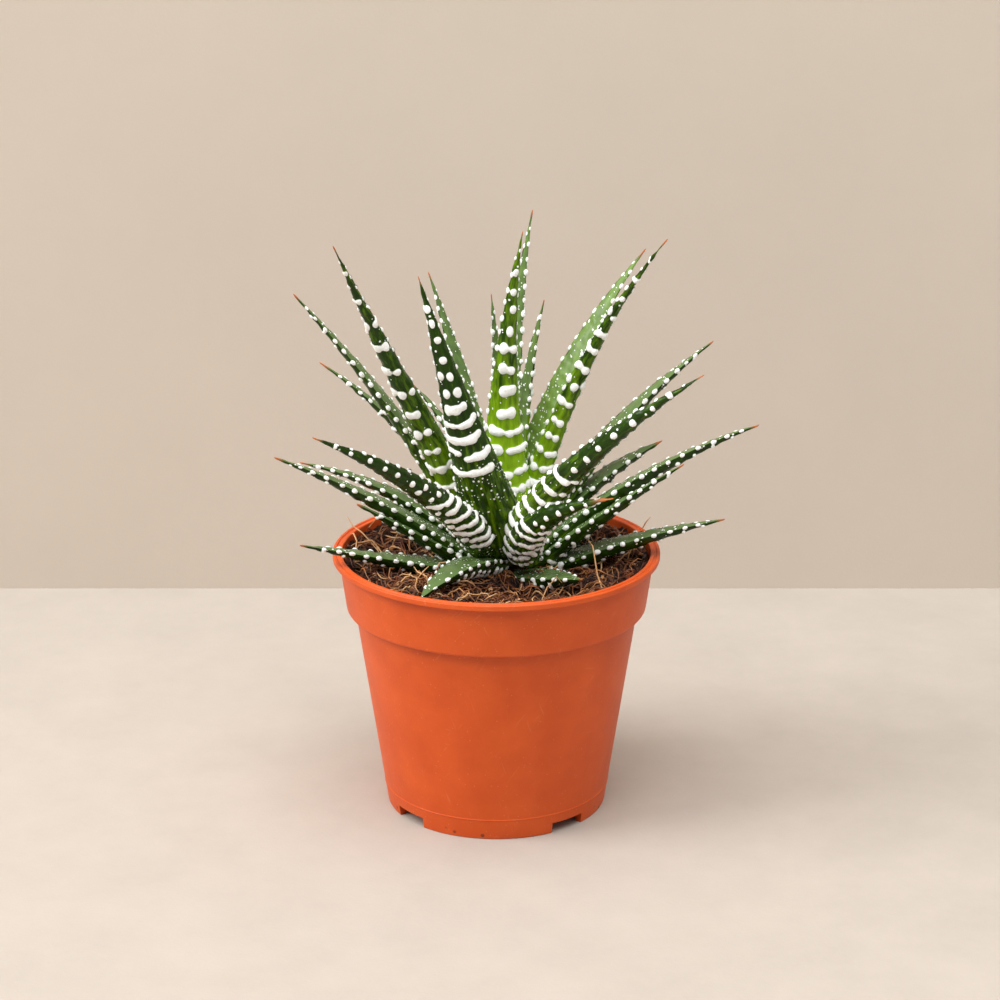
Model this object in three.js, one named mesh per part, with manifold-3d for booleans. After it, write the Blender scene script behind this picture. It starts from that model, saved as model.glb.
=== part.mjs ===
// A zebra haworthia in a round plastic nursery pot.
// Millimetres, +Z up. The origin is on the pot's axis, on the surface that the pot stands on.
// The front of the pot faces -Y. A compass angle is measured from the front towards +X.

import * as THREE from 'three';
import { mergeVertices } from 'three/addons/utils/BufferGeometryUtils.js';
import Module from 'manifold-3d';

const wasm = await Module();
wasm.setup();

const { degToRad, lerp, clamp } = THREE.MathUtils;

// Driving dimensions of the pot.
const POT_HEIGHT = 73.2;
const LIP_RADIUS = 45;
const LIP_THICKNESS = 1.6;
const LIP_OVERHANG = 1.7;
const LIP_ROUNDING = 0.2;
const WALL = 1.1;
const BAND_BOTTOM_HEIGHT = 57.3;
const BAND_BOTTOM_RADIUS = 41.3;
const SHOULDER_RADIUS = 39.1;
const FOOT_RADIUS = 30.6;
const POT_SEGMENTS = 48;

// Driving dimensions of the pot's floor: a flat disc, a raised ring with drains, and the foot.
const FLOOR_THICKNESS = 1.4;
const DISC_RADIUS = 19;
const RING_INNER_RADIUS = 21;
const RING_OUTER_RADIUS = 27.6;
const RING_RISE = 3;
const FOOT_INNER_RADIUS = 28.9;
const NOTCH_WIDTH = 10.5;
const NOTCH_HEIGHT = 3.1;
const NOTCH_COUNT = 4;
const FIRST_NOTCH_ANGLE = 39.5;
const NOTCH_INNER_RADIUS = 27.2;
const DRAIN_RADIUS = 2.3;
const DRAIN_SIDES = 12;
const CUTTER_OVERRUN = 3;

// Driving dimensions of the potting mix and the crown.
const CLEARANCE = 0.3;
const WELD_DISTANCE = 0.002;
const SOIL_HEIGHT = 69;
const SOIL_ROUGHNESS = 0.9;
const SOIL_BANK = 2.4;
const SOIL_BANK_POWER = 5;
const SOIL_SEGMENTS = 32;
const SOIL_RING_RADII = [36, 30, 24, 17, 10];
const CROWN_X = 2;
const STEM_RADIUS = 2.6;
const STEM_BOTTOM = 42;
const STEM_TOP = 79;
const STEM_FOOT_LENGTH = 4;
const STEM_FOOT_SHARE = 0.7;
const STEM_HEAD_LENGTH = 3;
const STEM_HEAD_SHARE = 0.6;
const STEM_SEGMENTS = 12;

// Driving dimensions that all leaves share.
const LEAF_DEPTH = 0.4;
const LEAF_CROWN = 0.05;
const TIP_WIDTH = 0.8;
const TIP_DEPTH = 0.45;
const BACK_ROUNDNESS = 0.9;
const ROOT_PINCH = 0.6;
const ROOT_LENGTH = 0.09;
const OUTER_FACETS = 5;
const BAND_HALF_WIDTH = 1.3;
const BAND_HEIGHT = 0.6;
const MARGIN_TOOTH = 0.35;
const FIRST_BAND = 0.12;
const LAST_BAND = 0.9;
const ROOT_BAND_STRETCH = 1.1;
const TIP_BAND_STRETCH = 0.7;
const BAND_SPACING = 15;
const EXTRA_BANDS = 2;
const FULL_RELIEF_WIDTH = 4;

// The leaves, from the lowest and outermost to the youngest in the middle of the crown.
// Columns: compass angle, root radius, root height, reach of the tip from the crown's axis,
// height of the tip, bow towards the upper face, bow sideways, width, fullness, turn about the
// leaf's own line. Lengths are in millimetres and angles in degrees.
const LEAVES = [
  [-33, 3, 70.5, 41, 71, 4.5, 0.5, 11, 2.4, -5],
  [38, 6, 68.5, 34, 74, 0, 0, 10.8, 2, -4],
  [-72, 5, 68, 57.5, 80.5, 0, 0, 10.5, 1.5, 0],
  [84, 5, 67, 60.5, 84, 2, -1.5, 12, 1.5, 0],
  [-172, 5, 67, 46, 78, 2, 0, 11, 1.4, 0],
  [125, 5, 67, 47, 80, 3, 0, 11, 1.4, 0],
  [-116, 5, 67, 49, 84, 3, 0, 11, 1.4, 0],
  [-72, 5, 69, 41.5, 90.5, 0, 0, 10, 1.3, 0],
  [74, 5, 68, 50, 102, 1, -1, 11, 1.3, 0],
  [158, 4, 68, 44, 84, 4, 0, 11, 1.4, 0],
  [-142, 4, 69, 50, 99, 4, 0, 11, 1.3, 0],
  [34, 10, 74, 50.4, 101.5, 3.7, -6.1, 12.3, 1.1, 64],
  [-38, 6.5, 73.5, 77, 123.5, 2.9, 6, 9, 1.8, -56],
  [104, 5, 66, 36.6, 88.8, -2, 0, 6, 2, 0],
  [88, 4, 69, 69, 109.5, 5, -1.5, 13.5, 1.3, 8],
  [-80, 4, 69, 62.5, 103, 2.5, 0, 12.5, 1.3, 0],
  [-97, 4, 70, 56.5, 96, 5, 0, 10, 1.3, 0],
  [142, 4, 70, 46, 94, 4, 0, 11, 1.3, 0],
  [110, 4, 70, 47, 99.5, 5, -2, 8.5, 3, 0],
  [178, 4, 70, 46, 100, 4, 0, 11.5, 1.3, 0],
  [42, 3.5, 74, 74, 138, 1.5, -9.5, 10.3, 1.5, 58],
  [-74, 3.5, 71, 57, 149, 3, 4, 12, 1.25, 20],
  [106, 3.5, 72, 60, 128, 4.5, 0, 14.5, 1.15, 0],
  [-100, 3.5, 72, 51, 124, 5.5, 0, 10, 1.25, 0],
  [-41, 1, 74, 33.5, 156, -5, 5.5, 20.5, 0.91, -45],
  [-125, 3.5, 73, 31, 115.5, 5, -1, 9, 1.25, 0],
  [62, 3.5, 73, 47.5, 165, 8, 8, 8, 1.1, 55],
  [-44, 3.5, 72, 61, 168, 1.5, -4, 10.5, 1.2, -60],
  [120, 3.5, 74, 45, 152.5, 5.5, 2.5, 15, 1.1, -20],
  [-146, 3.5, 74, 37.5, 144, -1, -3, 10.5, 1.25, 0],
  [42, 3, 75, 7.5, 163.5, 3.5, -1.5, 18.5, 0.8, 19],
  [160, 3, 76, 23, 163.5, 0, 2.5, 9.5, 1.25, 0],
  [135, 3, 77, 15.5, 141, 0, 2.5, 8.5, 1.25, 0],
  [-155, 3, 77, 8, 143.5, 0, -1.5, 8, 1.25, 0],
];

const POT_COLOUR = 0xc4562c;
const SOIL_COLOUR = 0x5c3319;
const STEM_COLOUR = 0x7c8a4a;
const OLD_LEAF_COLOUR = new THREE.Color(0x2f5220);
const YOUNG_LEAF_COLOUR = new THREE.Color(0x5f8f34);
const DRY_LEAF_COLOUR = new THREE.Color(0x6b6145);
const DRY_LEAF = 'leaf_14';

// A closed geometry as a solid that can be cut, and a solid as a geometry.
function toSolid(geometry) {
  const bare = geometry.clone();
  bare.deleteAttribute('normal');
  bare.deleteAttribute('uv');
  const merged = mergeVertices(bare, 1e-4);
  return new wasm.Manifold(new wasm.Mesh({
    numProp: 3,
    vertProperties: Float32Array.from(merged.attributes.position.array),
    triVerts: Uint32Array.from(merged.index.array),
  }));
}

// Corners closer than WELD_DISTANCE become one, and triangles that this flattens are dropped.
function toGeometry(solid) {
  const mesh = solid.getMesh();
  const raw = new THREE.BufferGeometry();
  raw.setAttribute('position', new THREE.BufferAttribute(mesh.vertProperties, 3));
  raw.setIndex(new THREE.BufferAttribute(mesh.triVerts, 1));
  const geometry = mergeVertices(raw, WELD_DISTANCE);
  const corners = geometry.index.array;
  const kept = [];
  for (let first = 0; first < corners.length; first += 3) {
    const [a, b, c] = corners.slice(first, first + 3);
    if (a !== b && b !== c && c !== a) kept.push(a, b, c);
  }
  geometry.setIndex(kept);
  geometry.computeVertexNormals();
  return geometry;
}

// A cut can leave scraps behind, so only the largest body of a solid is kept.
function largestBody(solid) {
  const bodies = solid.decompose();
  return bodies.reduce((best, body) => (body.volume() > best.volume() ? body : best));
}

function boxesMeet(a, b) {
  const boxA = a.boundingBox();
  const boxB = b.boundingBox();
  return [0, 1, 2].every((axis) => boxA.min[axis] < boxB.max[axis] && boxB.min[axis] < boxA.max[axis]);
}

function cutBy(solid, cutters) {
  return cutters
    .filter((cutter) => boxesMeet(solid, cutter))
    .reduce((rest, cutter) => rest.subtract(cutter), solid);
}

// A solid of revolution about +Z, from a profile of [radius, height] points.
function turned(profile, segments) {
  const points = profile.map(([radius, height]) => new THREE.Vector2(radius, height));
  const geometry = new THREE.LatheGeometry(points, segments);
  geometry.rotateX(Math.PI / 2);
  return toSolid(geometry);
}

// A mesh of rings of equal length, closed by a fan at each end.
function lofted(rings) {
  const sides = rings[0].length;
  const positions = rings.flat().flatMap((point) => point.toArray());
  const indices = [];
  for (let row = 0; row < rings.length - 1; row += 1) {
    for (let side = 0; side < sides; side += 1) {
      const next = (side + 1) % sides;
      const a = row * sides + side;
      const b = row * sides + next;
      const c = (row + 1) * sides + next;
      const d = (row + 1) * sides + side;
      indices.push(a, b, c, a, c, d);
    }
  }
  const addCap = (ring, firstIndex, forward) => {
    const centre = ring.reduce((sum, point) => sum.add(point), new THREE.Vector3()).divideScalar(sides);
    const centreIndex = positions.length / 3;
    positions.push(...centre.toArray());
    for (let side = 0; side < sides; side += 1) {
      const here = firstIndex + side;
      const next = firstIndex + ((side + 1) % sides);
      indices.push(...(forward ? [centreIndex, here, next] : [centreIndex, next, here]));
    }
  };
  addCap(rings[0], 0, false);
  addCap(rings[rings.length - 1], (rings.length - 1) * sides, true);
  const geometry = new THREE.BufferGeometry();
  geometry.setAttribute('position', new THREE.Float32BufferAttribute(positions, 3));
  geometry.setIndex(indices);
  return toSolid(geometry);
}

// The pot: a thin tapered wall with a deeper band and a flat lip at the rim.
const bandTopRadius = LIP_RADIUS - LIP_OVERHANG;
const lipInnerRadius = bandTopRadius - WALL + LIP_ROUNDING;
const lipUnderside = POT_HEIGHT - LIP_THICKNESS;
const ringTop = RING_RISE + FLOOR_THICKNESS;
const footInnerWall = FOOT_RADIUS - WALL;
const floorTopRadius = footInnerWall + (ringTop * (SHOULDER_RADIUS - FOOT_RADIUS)) / BAND_BOTTOM_HEIGHT;

// The inside of the wall, from the lip down to the floor, as [radius, height].
const insideWall = [
  [lipInnerRadius, POT_HEIGHT],
  [bandTopRadius - WALL, lipUnderside],
  [BAND_BOTTOM_RADIUS - WALL, BAND_BOTTOM_HEIGHT + WALL],
  [SHOULDER_RADIUS - WALL, BAND_BOTTOM_HEIGHT],
  [floorTopRadius, ringTop],
];

function makePot() {
  const profile = [
    [0, 0],
    [DISC_RADIUS, 0],
    [RING_INNER_RADIUS, RING_RISE],
    [RING_OUTER_RADIUS, RING_RISE],
    [FOOT_INNER_RADIUS, 0],
    [FOOT_RADIUS, 0],
    [SHOULDER_RADIUS, BAND_BOTTOM_HEIGHT],
    [BAND_BOTTOM_RADIUS, BAND_BOTTOM_HEIGHT],
    [bandTopRadius, lipUnderside],
    [LIP_RADIUS, lipUnderside],
    [LIP_RADIUS, POT_HEIGHT],
    ...insideWall,
    [RING_INNER_RADIUS - FLOOR_THICKNESS, ringTop],
    [DISC_RADIUS - FLOOR_THICKNESS, FLOOR_THICKNESS],
    [0, FLOOR_THICKNESS],
  ];
  const cutters = [];
  for (let notch = 0; notch < NOTCH_COUNT; notch += 1) {
    const angle = degToRad(FIRST_NOTCH_ANGLE - 90 + (notch * 360) / NOTCH_COUNT);
    const depth = FOOT_RADIUS + CUTTER_OVERRUN - NOTCH_INNER_RADIUS;
    const opening = new THREE.BoxGeometry(depth, NOTCH_WIDTH, NOTCH_HEIGHT * 2);
    opening.translate(NOTCH_INNER_RADIUS + depth / 2, 0, 0);
    opening.rotateZ(angle);
    cutters.push(toSolid(opening));
    const drain = new THREE.CylinderGeometry(DRAIN_RADIUS, DRAIN_RADIUS, 2 * CUTTER_OVERRUN, DRAIN_SIDES);
    drain.rotateX(Math.PI / 2);
    drain.translate((RING_INNER_RADIUS + RING_OUTER_RADIUS) / 2, 0, ringTop);
    drain.rotateZ(angle);
    cutters.push(toSolid(drain));
  }
  return cutBy(turned(profile, POT_SEGMENTS), cutters);
}

// A leaf: a thick pointed blade, flat above and keeled below. Its back carries raised bands of
// white tubercles, and a tooth stands on each margin where a band ends.
function bandedStations(length) {
  const bands = Math.round(length / BAND_SPACING) + EXTRA_BANDS;
  const stations = [{ at: 0, raised: 0 }];
  for (let band = 0; band < bands; band += 1) {
    const at = lerp(FIRST_BAND, LAST_BAND, (band + 0.5) / bands);
    const halfWidth = (BAND_HALF_WIDTH * lerp(ROOT_BAND_STRETCH, TIP_BAND_STRETCH, at)) / length;
    stations.push({ at: at - halfWidth, raised: 0 });
    stations.push({ at, raised: 1 });
    stations.push({ at: at + halfWidth, raised: 0 });
  }
  stations.push({ at: 1, raised: 0 });
  return stations;
}

// The room that a leaf takes up clears its bands and teeth all the way along.
const ROOM_PLACES = [0, ROOT_LENGTH, 0.16, 0.24, 0.32, 0.4, 0.48, 0.56, 0.64, 0.72, 0.8, 0.9, 1];
const roomStations = ROOM_PLACES.map((at) => ({ at, raised: 1 }));

function shapeLeaf(row, stationsFor, clearance) {
  const [compass, rootRadius, rootHeight, reach, height, bow, sideBow, width, fullness, turn] = row;
  const angle = degToRad(compass);
  const outwards = new THREE.Vector3(Math.sin(angle), -Math.cos(angle), 0);
  const sideways = new THREE.Vector3(Math.cos(angle), Math.sin(angle), 0);
  const crown = new THREE.Vector3(CROWN_X, 0, 0);
  const root = crown.clone().addScaledVector(outwards, rootRadius).setZ(rootHeight);
  const tip = crown.clone().addScaledVector(outwards, reach).setZ(height);
  const chord = tip.clone().sub(root);
  const upperSide = outwards.clone().multiplyScalar(-chord.z).setZ(chord.dot(outwards)).normalize();
  const middle = root.clone().lerp(tip, 0.5)
    .addScaledVector(upperSide, 2 * bow)
    .addScaledVector(sideways, 2 * sideBow);
  const line = new THREE.QuadraticBezierCurve3(root, middle, tip);

  const rings = stationsFor(chord.length()).map(({ at, raised }) => {
    const tangent = line.getTangent(at);
    const across = sideways.clone().addScaledVector(tangent, -sideways.dot(tangent)).normalize();
    const below = across.clone().cross(tangent);
    across.applyAxisAngle(tangent, -degToRad(turn));
    below.applyAxisAngle(tangent, -degToRad(turn));
    const blade = width * (1 - at ** fullness);
    const pinch = lerp(ROOT_PINCH, 1, clamp(at / ROOT_LENGTH, 0, 1));
    const fade = clamp(blade / FULL_RELIEF_WIDTH, 0, 1);
    const halfWidth = Math.max(blade * pinch, TIP_WIDTH) / 2 + raised * MARGIN_TOOTH * fade + clearance;
    const depth = LEAF_DEPTH * blade * pinch + TIP_DEPTH + clearance;
    const crownHeight = LEAF_CROWN * blade + TIP_DEPTH / 2 + clearance;
    let centre = line.getPoint(at);
    if (at === 0) centre = centre.addScaledVector(tangent, -clearance);
    if (at === 1) centre = centre.addScaledVector(tangent, clearance);
    const ring = [];
    for (let facet = 0; facet <= OUTER_FACETS; facet += 1) {
      const swing = (Math.PI * facet) / OUTER_FACETS;
      const outer = facet > 0 && facet < OUTER_FACETS;
      const relief = outer ? raised * BAND_HEIGHT * fade : 0;
      ring.push(centre.clone()
        .addScaledVector(across, halfWidth * Math.cos(swing))
        .addScaledVector(below, outer ? depth * Math.sin(swing) ** BACK_ROUNDNESS + relief : 0));
    }
    ring.push(centre.clone().addScaledVector(below, -crownHeight));
    return ring.reverse();
  });
  return lofted(rings);
}

const makeLeaf = (row) => shapeLeaf(row, bandedStations, 0);
const makeRoom = (row) => shapeLeaf(row, () => roomStations, CLEARANCE);

// The stem: the short crown that every leaf grows from, rooted in the potting mix.
function makeStem(clearance = 0) {
  const radius = STEM_RADIUS + clearance;
  return turned([
    [0, STEM_BOTTOM - clearance],
    [radius * STEM_FOOT_SHARE, STEM_BOTTOM - clearance],
    [radius, STEM_BOTTOM + STEM_FOOT_LENGTH],
    [radius, STEM_TOP - STEM_HEAD_LENGTH],
    [radius * STEM_HEAD_SHARE, STEM_TOP + clearance],
    [0, STEM_TOP + clearance],
  ], STEM_SEGMENTS).translate([CROWN_X, 0, 0]);
}

// The potting mix fills the pot and follows its inside wall. Its top is rough, and banked up
// against the wall.
function soilHeight(x, y) {
  const bank = SOIL_BANK * (Math.hypot(x, y) / BAND_BOTTOM_RADIUS) ** SOIL_BANK_POWER;
  const coarse = Math.sin(x * 0.42 + 1.3) * Math.cos(y * 0.37 - 0.4);
  const fine = Math.sin(x * 0.91 - y * 0.77) * Math.cos(x * 0.63 + y * 1.07 + 2);
  return SOIL_HEIGHT + bank + SOIL_ROUGHNESS * (0.6 * coarse + 0.4 * fine);
}

function makeSoil() {
  const wallSlope = (BAND_BOTTOM_RADIUS - bandTopRadius) / (BAND_BOTTOM_HEIGHT - lipUnderside);
  const topRadius = BAND_BOTTOM_RADIUS - WALL + wallSlope * (SOIL_HEIGHT - BAND_BOTTOM_HEIGHT) - CLEARANCE;
  const sideProfile = [
    [RING_INNER_RADIUS, ringTop + CLEARANCE],
    [floorTopRadius - CLEARANCE, ringTop + CLEARANCE],
    [SHOULDER_RADIUS - WALL - CLEARANCE, BAND_BOTTOM_HEIGHT + CLEARANCE],
    [BAND_BOTTOM_RADIUS - WALL - CLEARANCE, BAND_BOTTOM_HEIGHT + WALL + 2 * CLEARANCE],
  ];
  const ringAt = (radius, heightAt) => {
    const ring = [];
    for (let step = 0; step < SOIL_SEGMENTS; step += 1) {
      const angle = (step * 2 * Math.PI) / SOIL_SEGMENTS;
      const x = radius * Math.cos(angle);
      const y = radius * Math.sin(angle);
      ring.push(new THREE.Vector3(x, y, heightAt(x, y)));
    }
    return ring;
  };
  const rings = sideProfile.map(([radius, height]) => ringAt(radius, () => height));
  [topRadius, ...SOIL_RING_RADII].forEach((radius) => rings.push(ringAt(radius, soilHeight)));
  return lofted(rings);
}

// Each younger leaf is moulded to the older leaves round it, with a fine gap between them.
const roomForLeaves = LEAVES.map(makeRoom);
const leafSolids = LEAVES.map((row, index) => {
  const older = roomForLeaves.slice(0, index);
  return largestBody(cutBy(makeLeaf(row), [makeStem(CLEARANCE), ...older]));
});
const stemSolid = makeStem();
const soilSolid = largestBody(cutBy(makeSoil(), [makeStem(CLEARANCE), ...roomForLeaves]));

function addPiece(group, name, solid, colour, roughness) {
  const material = new THREE.MeshStandardMaterial({ color: colour, roughness, metalness: 0 });
  const mesh = new THREE.Mesh(toGeometry(solid), material);
  mesh.name = name;
  group.add(mesh);
}

const plant = new THREE.Group();
addPiece(plant, 'pot', makePot(), POT_COLOUR, 0.55);
addPiece(plant, 'soil', soilSolid, SOIL_COLOUR, 0.95);
addPiece(plant, 'stem', stemSolid, STEM_COLOUR, 0.7);
leafSolids.forEach((solid, index) => {
  const youth = index / (LEAVES.length - 1);
  const green = OLD_LEAF_COLOUR.clone().lerp(YOUNG_LEAF_COLOUR, youth ** 2);
  const name = `leaf_${String(index + 1).padStart(2, '0')}`;
  addPiece(plant, name, solid, name === DRY_LEAF ? DRY_LEAF_COLOUR : green, 0.45);
});

export default plant;
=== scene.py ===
# A zebra haworthia in a terracotta-coloured nursery pot. Blender's units are metres; sizes here
# are in millimetres and are turned to metres where a mesh is made. +Z is up and -Y is the front.
import math

import bpy
import numpy as np
from mathutils import Euler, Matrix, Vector


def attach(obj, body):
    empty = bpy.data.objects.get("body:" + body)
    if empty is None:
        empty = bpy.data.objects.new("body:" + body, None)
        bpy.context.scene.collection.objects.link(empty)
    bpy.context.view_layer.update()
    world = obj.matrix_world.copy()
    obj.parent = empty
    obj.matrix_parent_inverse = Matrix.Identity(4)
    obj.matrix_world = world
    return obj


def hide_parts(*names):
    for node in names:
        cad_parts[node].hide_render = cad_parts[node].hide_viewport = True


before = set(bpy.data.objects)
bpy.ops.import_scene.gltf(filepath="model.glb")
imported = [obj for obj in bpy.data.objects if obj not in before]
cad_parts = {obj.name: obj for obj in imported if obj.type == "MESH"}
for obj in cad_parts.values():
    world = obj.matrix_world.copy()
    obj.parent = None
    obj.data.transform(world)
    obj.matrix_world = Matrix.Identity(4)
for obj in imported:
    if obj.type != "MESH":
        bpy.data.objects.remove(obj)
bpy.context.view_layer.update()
MM = 0.001


# Camera. It stands in front of the plant and looks down on it a little, as the photograph does,
# with a long lens, so that the pot's rim is a flat ellipse. Nothing of the object depends on it.
CAMERA_DISTANCE = 700
CAMERA_TILT = math.radians(18.17)
CAMERA_AIM = Vector((1.0, 0.0, 87.35))
CAMERA_LENS = 92.2
CAMERA_SENSOR = 36

towards_camera = Vector((0, -math.cos(CAMERA_TILT), math.sin(CAMERA_TILT)))
bpy.ops.object.camera_add(location=(CAMERA_AIM + CAMERA_DISTANCE * towards_camera) * MM)
camera = bpy.context.active_object
camera.rotation_euler = (math.pi / 2 - CAMERA_TILT, 0, 0)
camera.data.lens = CAMERA_LENS
camera.data.sensor_width = CAMERA_SENSOR
bpy.context.scene.camera = camera
bpy.context.scene.view_settings.view_transform = "Standard"


# Pot. A thin-walled nursery pot, injection moulded in terracotta-coloured polypropylene: a flat
# grooved lip, a deeper band with a step under it, a tapered wall, and a foot with four notches.
# One turned outline gives the whole pot, and the notches and drains are cut out of it.
POT_SIDES = 192
FOOT_RADIUS = 30.6
SHOULDER_RADIUS = 39.1
BAND_RADIUS = 41.3
LIP_RADIUS = 45.0
STEP_HEIGHT = 57.3
LIP_UNDERSIDE = 71.6
POT_HEIGHT = 73.2
WALL = 1.1
FLOOR_TOP = 4.4
SEAM_HEIGHT = 6.0
SEAM_PROUD = 0.14
GROOVE_DEPTH = 0.3
NOTCH_INNER_RADIUS = 27.2
NOTCH_REACH = 6.4
NOTCH_WIDTH = 10.5
NOTCH_HEIGHT = 3.1
NOTCH_COUNT = 4
FIRST_NOTCH_ANGLE = math.radians(39.5 - 90)
DRAIN_PLACE = 24.3
DRAIN_RADIUS = 2.3
DRAIN_SIDES = 24
DRAIN_CUT = 6
ARC_STEPS = 4
SMOOTH_ANGLE = math.radians(35)
WELD_DISTANCE = 1e-7


def deselect_all():
    bpy.ops.object.select_all(action="DESELECT")


def wall_radius(height):
    """The outside of the tapered wall at a height, in millimetres."""
    return FOOT_RADIUS + (SHOULDER_RADIUS - FOOT_RADIUS) * height / STEP_HEIGHT


def rounded(corners):
    """An outline from (radius, height, rounding) corners, with each rounding as a small arc."""
    outline = []
    for number, (radius, height, rounding) in enumerate(corners):
        here = Vector((radius, height))
        if rounding == 0:
            outline.append(here)
            continue
        before = Vector(corners[number - 1][:2])
        after = Vector(corners[number + 1][:2])
        start = here + (before - here).normalized() * rounding
        end = here + (after - here).normalized() * rounding
        for step in range(ARC_STEPS + 1):
            t = step / ARC_STEPS
            outline.append((1 - t) ** 2 * start + 2 * t * (1 - t) * here + t * t * end)
    return outline


def turned_body(name, sides, corners, centre_x=0.0):
    """A closed body turned about an upright line, from its bottom to its top or inner middle."""
    first_radius, first_height = corners[0][:2]
    deselect_all()
    bpy.ops.mesh.primitive_circle_add(
        vertices=sides,
        radius=first_radius * MM,
        fill_type="TRIFAN",
        location=(centre_x * MM, 0, first_height * MM),
    )
    body = bpy.context.active_object
    body.name = name
    bpy.ops.object.transform_apply(location=True, rotation=False, scale=False)
    bpy.ops.object.mode_set(mode="EDIT")
    bpy.ops.mesh.select_all(action="SELECT")
    bpy.ops.mesh.region_to_loop()
    last_radius, last_height = first_radius, first_height
    for ring in rounded(corners)[1:]:
        bpy.ops.mesh.extrude_edges_move()
        bpy.ops.transform.resize(value=(ring.x / last_radius, ring.x / last_radius, 1))
        bpy.ops.transform.translate(value=(0, 0, (ring.y - last_height) * MM))
        last_radius, last_height = ring
    bpy.ops.mesh.edge_face_add()
    bpy.ops.mesh.poke()
    bpy.ops.mesh.select_all(action="SELECT")
    bpy.ops.mesh.remove_doubles(threshold=WELD_DISTANCE)
    bpy.ops.mesh.normals_make_consistent(inside=False)
    bpy.ops.object.mode_set(mode="OBJECT")
    return body


def cut_out(piece, cutter):
    """Takes the cutter out of the piece, as a Boolean modifier does, and removes the cutter."""
    modifier = piece.modifiers.new("cut", "BOOLEAN")
    modifier.operation = "DIFFERENCE"
    modifier.solver = "EXACT"
    modifier.object = cutter
    bpy.context.view_layer.objects.active = piece
    bpy.ops.object.modifier_apply(modifier=modifier.name)
    bpy.data.objects.remove(cutter)


pot = turned_body("nursery_pot", POT_SIDES, [
    (4.0, 0, 0),
    (19.0, 0, 0.3),
    (21.0, 3.0, 0.4),
    (27.6, 3.0, 0.4),
    (28.9, 0, 0.2),
    (FOOT_RADIUS, 0, 0.35),
    (wall_radius(SEAM_HEIGHT - 0.25), SEAM_HEIGHT - 0.25, 0),
    (wall_radius(SEAM_HEIGHT) + SEAM_PROUD, SEAM_HEIGHT, 0),
    (wall_radius(SEAM_HEIGHT + 0.25), SEAM_HEIGHT + 0.25, 0),
    (SHOULDER_RADIUS, STEP_HEIGHT, 0.25),
    (BAND_RADIUS, STEP_HEIGHT, 0.7),
    (LIP_RADIUS - 1.7, LIP_UNDERSIDE, 0.3),
    (LIP_RADIUS, LIP_UNDERSIDE, 0.35),
    (LIP_RADIUS, POT_HEIGHT, 0.35),
    (LIP_RADIUS - 0.8, POT_HEIGHT, 0.1),
    (LIP_RADIUS - 1.0, POT_HEIGHT - GROOVE_DEPTH, 0.1),
    (LIP_RADIUS - 1.4, POT_HEIGHT - GROOVE_DEPTH, 0.1),
    (LIP_RADIUS - 1.6, POT_HEIGHT, 0.1),
    (LIP_RADIUS - 2.6, POT_HEIGHT, 0.35),
    (LIP_RADIUS - 2.8, LIP_UNDERSIDE, 0.2),
    (BAND_RADIUS - WALL, STEP_HEIGHT + WALL, 0.3),
    (SHOULDER_RADIUS - WALL, STEP_HEIGHT, 0.3),
    (wall_radius(FLOOR_TOP) - WALL, FLOOR_TOP, 0.5),
    (19.6, FLOOR_TOP, 0.4),
    (17.6, 1.4, 0.3),
    (4.0, 1.4, 0),
])
for notch in range(NOTCH_COUNT):
    angle = FIRST_NOTCH_ANGLE + notch * 2 * math.pi / NOTCH_COUNT
    direction = Vector((math.cos(angle), math.sin(angle), 0))
    bpy.ops.mesh.primitive_cube_add(
        size=1,
        location=direction * (NOTCH_INNER_RADIUS + NOTCH_REACH / 2) * MM,
        rotation=(0, 0, angle),
        scale=(NOTCH_REACH * MM, NOTCH_WIDTH * MM, 2 * NOTCH_HEIGHT * MM),
    )
    cut_out(pot, bpy.context.active_object)
    bpy.ops.mesh.primitive_cylinder_add(
        vertices=DRAIN_SIDES,
        radius=DRAIN_RADIUS * MM,
        depth=DRAIN_CUT * MM,
        location=(direction * DRAIN_PLACE + Vector((0, 0, FLOOR_TOP))) * MM,
    )
    cut_out(pot, bpy.context.active_object)
bpy.ops.object.shade_smooth_by_angle(angle=SMOOTH_ANGLE)


def linear(colour):
    """An sRGB hex colour, such as 0xC4562C, as the linear colour that a shader takes."""
    channels = [((colour >> shift) & 255) / 255 for shift in (16, 8, 0)]
    return [c / 12.92 if c <= 0.04045 else ((c + 0.055) / 1.055) ** 2.4 for c in channels] + [1]


def add_node(tree, kind, inputs=None, **settings):
    """Adds a node with its settings. inputs fills its sockets with values or other sockets."""
    node = tree.nodes.new(kind)
    for name, value in settings.items():
        setattr(node, name, value)
    for name, value in (inputs or {}).items():
        if isinstance(value, bpy.types.NodeSocket):
            tree.links.new(value, node.inputs[name])
        else:
            node.inputs[name].default_value = value
    return node


def new_material(name):
    """A material with only a Principled shader and an output. Returns it, its tree, its shader."""
    material = bpy.data.materials.new(name)
    material.use_nodes = True
    tree = material.node_tree
    tree.nodes.clear()
    shader = add_node(tree, "ShaderNodeBsdfPrincipled")
    add_node(tree, "ShaderNodeOutputMaterial", {"Surface": shader.outputs["BSDF"]})
    return material, tree, shader


def colour_stops(ramp, stops):
    """Sets a colour ramp's (place, sRGB colour) stops. Returns its colour output."""
    elements = ramp.color_ramp.elements
    for number, (place, colour) in enumerate(stops):
        element = elements[number] if number < 2 else elements.new(place)
        element.position = place
        element.color = linear(colour)
    return ramp.outputs["Color"]


def cover(piece, material):
    """Gives a piece its one material."""
    piece.data.materials.clear()
    piece.data.materials.append(material)


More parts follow.
